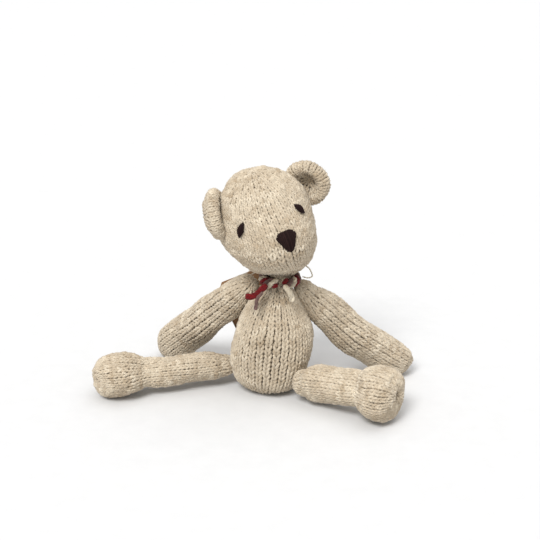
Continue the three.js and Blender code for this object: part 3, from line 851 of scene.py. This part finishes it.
class BEAR_OT_ears(bpy.types.Operator):
    """Knits the two cupped ears, each from the middle of its back over a thick rim into its hollow"""

    bl_idname = "bear.ears"
    bl_label = "Ears"

    def execute(self, context):
        gauge = context.scene.bear_gauge
        head = HeadSkin()
        for side, ear in EARS.items():
            r = ear["radius"]
            outline = [
                [-6, 0], [-5.8, 5], [-4.6, 10], [-1.6, 15], [2.4, r - 0.6], [7, r - 0.8], [10, r - 4],
                [9.6, r - 8.4], [5.6, r - 11.4], [1.4, r - 13.4], [0, 3], [0, 0],
            ]
            outline = [[along, wide, wide, 0] for along, wide in outline]
            turn = np.array(Matrix.Rotation(ear["turn"], 3, "Z")).T
            local = np.array([[1, 0, 0], [0, 0, 1], [0, -1, 0]], float) @ turn
            origin = head.origin + (np.array(ear["middle"]) + [0, 0, HEAD_UP]) @ head.axes
            skin = TurnedSkin(outline, origin, local @ head.axes, lump=0.2, seed=41)
            nodes = (side + "_ear_knit",)
            add_knit(side + "_ear", skin, "head", nodes, gauge, gauge.ear_wale, STITCHES["ear"], 43)
        return {"FINISHED"}


class BEAR_OT_face(bpy.types.Operator):
    """Embroiders the eyes and the nose in satin stitches"""

    bl_idname = "bear.face"
    bl_label = "Eyes and nose"

    def execute(self, context):
        self.head = HeadSkin()
        for side, sign in (("right", -1), ("left", 1)):
            self.add_eye(side + "_eye", sign)
        self.add_nose()
        return {"FINISHED"}

    def strand(self, start, end, bow, lift, radius, seed):
        """A stitch on the head between two directions, bowed sideways, and raised like a low arch."""
        t = np.linspace(0, 1, 22)[:, None]
        direction = start * (1 - t) + end * t + bow * np.sin(np.pi * t)
        rise = lift * np.sin(np.pi * t[:, 0]) ** 0.5 - 0.9 * (1 - np.sin(np.pi * t[:, 0]) ** 0.35)
        path = self.head.place(direction) + self.outward(direction) * rise[:, None]
        tone = np.random.default_rng(seed).uniform(0.2, 0.8)
        return yarn_tube(path, self.outward(direction), radius, sides=7, tone=tone)

    def outward(self, direction):
        middle = self.head.origin + np.array([0, 0, HEAD_UP]) @ self.head.axes
        return unit(self.head.place(direction) - middle)

    def finish_piece(self, name, parts):
        points, faces, uv, tone = joined(parts)
        piece = dress(new_object(name + "_stitches", points, faces, uv, tone), dark_yarn())
        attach(piece, "head")
        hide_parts(name)

    def add_eye(self, name, sign):
        """Five stitches side by side that share both ends of a slim leaf."""
        middle = np.array([EYE["middle"] + sign * EYE["side"], -EYE["front"], EYE["up"]])
        across = unit(np.cross(middle, [0, 0, 1])) * sign
        upward = unit(np.cross(across, middle)) * sign
        long = upward * math.cos(EYE["slant"]) + across * math.sin(EYE["slant"])
        wide = across * math.cos(EYE["slant"]) - upward * math.sin(EYE["slant"])
        parts = []
        for n, offset in enumerate(np.linspace(-1, 1, 5)):
            bow = wide * offset * EYE["width"] / 2
            reach = EYE_LENGTHS[name] / 2 * (1 - 0.12 * offset**2)
            parts.append(self.strand(middle + long * reach, middle - long * reach, bow, 0.7, 0.8, 50 + n))
        self.finish_piece(name, parts)

    def add_nose(self):
        """Upright stitches side by side, from a gently curved top edge down to a rounded point."""
        parts = []
        count = 11
        for n, offset in enumerate(np.linspace(-1, 1, count)):
            x = NOSE["side"] + 0.94 * offset * NOSE["width"] / 2
            top = NOSE["up"] + NOSE["height"] * (0.5 - 0.22 * offset**4)
            bottom = NOSE["up"] + NOSE["height"] * (-0.5 + 0.5 * abs(offset) ** 2.2)
            start = np.array([x, -NOSE["front"], top])
            end = np.array([NOSE["side"] + (x - NOSE["side"]) * 0.7, -NOSE["front"], bottom])
            parts.append(self.strand(start, end, np.zeros(3), 1.5 - 0.7 * offset**2, 1.0, 60 + n))
        self.finish_piece("nose", parts)


# The collar's ring, the small circle its yarns wind in, their radius, their turns and the gap at the front, as
# an angle. Below it, the hanging ends of the yarns.
COLLAR = dict(radius=12.6, height=94.4, middle=(9.2, -2), twist=2.2, yarn=1.9, turns=6, gap=0.3)
TAILS = {
    "red": dict(
        yarn=2.6,
        path=[[-1, -16.4, 94.6], [-5, -18.4, 91], [-8.6, -20.4, 88], [-12.4, -21, 86.6], [-17.2, -21, 86.4]],
    ),
    "mauve": dict(yarn=1.5, path=[[-4, -20, 90], [-7.8, -23, 86], [-8.8, -24.6, 82], [-9.4, -26, 77.6]]),
    "cream": dict(yarn=2.2, path=[[12, -18.4, 94.4], [15.4, -21, 92], [17.8, -23, 87.8], [18.4, -24, 83.4]]),
}


class BEAR_OT_collar(bpy.types.Operator):
    """Twists the red, cream and mauve yarns round the neck and lets their ends hang"""

    bl_idname = "bear.collar"
    bl_label = "Collar"

    def execute(self, context):
        colours = context.scene.bear_colours
        shades = {"red": colours.red, "cream": colours.pale, "mauve": colours.mauve}
        for n, (name, shade) in enumerate(shades.items()):
            dark = [0.55 * value for value in shade]
            light = [min(1.25 * value, 1) for value in shade]
            wool = yarn_material(name + "_collar_wool", dark, light, sheen=0.08, twist=0.3, bump=0.8)
            ring = self.plied(self.round_the_neck(n), COLLAR["yarn"], [0, 0, 1])
            tail = TAILS[name]
            route = smooth_rows(tail["path"], 60)
            end = self.plied(route, tail["yarn"], [0.3, -1, 0.2])
            for label, parts in (("collar_" + name, ring), ("collar_" + name + "_tail", end)):
                points, faces, uv, tone = joined(parts)
                piece = dress(new_object(label + "_yarn", points, faces, uv, tone), wool)
                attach(piece, "torso")
                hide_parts(label)
        return {"FINISHED"}

    def round_the_neck(self, n):
        """A circle round the neck, moved round it in a small circle of its own, a third of a turn apart."""
        span = np.linspace(0, 1, 420)
        a = -math.pi / 2 + COLLAR["gap"] / 2 + (2 * math.pi - COLLAR["gap"]) * span
        twist = 2 * math.pi * (COLLAR["turns"] * span + n / 3)
        r = COLLAR["radius"] + COLLAR["twist"] * np.cos(twist)
        x = COLLAR["middle"][0] + r * np.cos(a)
        y = COLLAR["middle"][1] + r * np.sin(a)
        z = COLLAR["height"] + COLLAR["twist"] * np.sin(twist) + 0.5 * np.sin(3 * a)
        return np.stack([x, y, z], axis=1)

    def plied(self, route, yarn, reference):
        """Three plies wound round a route, one turn every thirteen millimetres."""
        size = dict(pitch=13, offset=0.4 * yarn, radius=0.62 * yarn)
        return wound(route, reference, tones=(0.3, 0.5, 0.7), sides=8, **size)


class BEAR_OT_inside(bpy.types.Operator):
    """Finishes the buttons, the washer and the waxed cords hidden in the joints"""

    bl_idname = "bear.inside"
    bl_label = "Hidden joints"

    def execute(self, context):
        dark, light = (0.36, 0.20, 0.09), (0.55, 0.34, 0.16)
        wood = grained_material("button_wood", dark, light, 260, 0.5, stretch=(1, 8, 8), bump=0.15)
        leather = grained_material("washer_leather", (0.20, 0.09, 0.04), (0.32, 0.16, 0.07), 700, 0.75, bump=0.4)
        wax = grained_material("waxed_cord", (0.55, 0.47, 0.33), (0.70, 0.62, 0.46), 1200, 0.6, bump=0.3)
        for name in frame["nodes"]:
            if name.endswith("_button"):
                dress_node(name, wood)
            elif name.endswith("_joint_cord"):
                dress_node(name, wax)
            elif name == "head_washer":
                dress_node(name, leather)
        return {"FINISHED"}


class BEAR_PT_panel(bpy.types.Panel):
    """Lists the steps in order"""

    bl_idname = "BEAR_PT_panel"
    bl_label = "Knitted bear"
    bl_space_type = "VIEW_3D"
    bl_region_type = "UI"
    bl_category = "Bear"

    def draw(self, context):
        for operator in STEPS:
            self.layout.operator(operator.bl_idname)
        for settings in (context.scene.bear_gauge, context.scene.bear_colours, context.scene.bear_stage):
            for key in settings.__annotations__:
                self.layout.prop(settings, key)


STEPS = (
    BEAR_OT_stage,
    BEAR_OT_tag,
    BEAR_OT_torso,
    BEAR_OT_limbs,
    BEAR_OT_head,
    BEAR_OT_ears,
    BEAR_OT_face,
    BEAR_OT_collar,
    BEAR_OT_inside,
)
SETTINGS = (BearGauge, BearColours, BearStage)


def register():
    for item in (*SETTINGS, *STEPS, BEAR_PT_panel):
        bpy.utils.register_class(item)
    bpy.types.Scene.bear_gauge = bpy.props.PointerProperty(type=BearGauge)
    bpy.types.Scene.bear_colours = bpy.props.PointerProperty(type=BearColours)
    bpy.types.Scene.bear_stage = bpy.props.PointerProperty(type=BearStage)


def unregister():
    del bpy.types.Scene.bear_stage
    del bpy.types.Scene.bear_colours
    del bpy.types.Scene.bear_gauge
    for item in reversed((*SETTINGS, *STEPS, BEAR_PT_panel)):
        bpy.utils.unregister_class(item)


def main():
    """Runs every step in order."""
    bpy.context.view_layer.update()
    register()
    for operator in STEPS:
        group, name = operator.bl_idname.split(".")
        getattr(getattr(bpy.ops, group), name)()


if __name__ == "__main__":
    main()
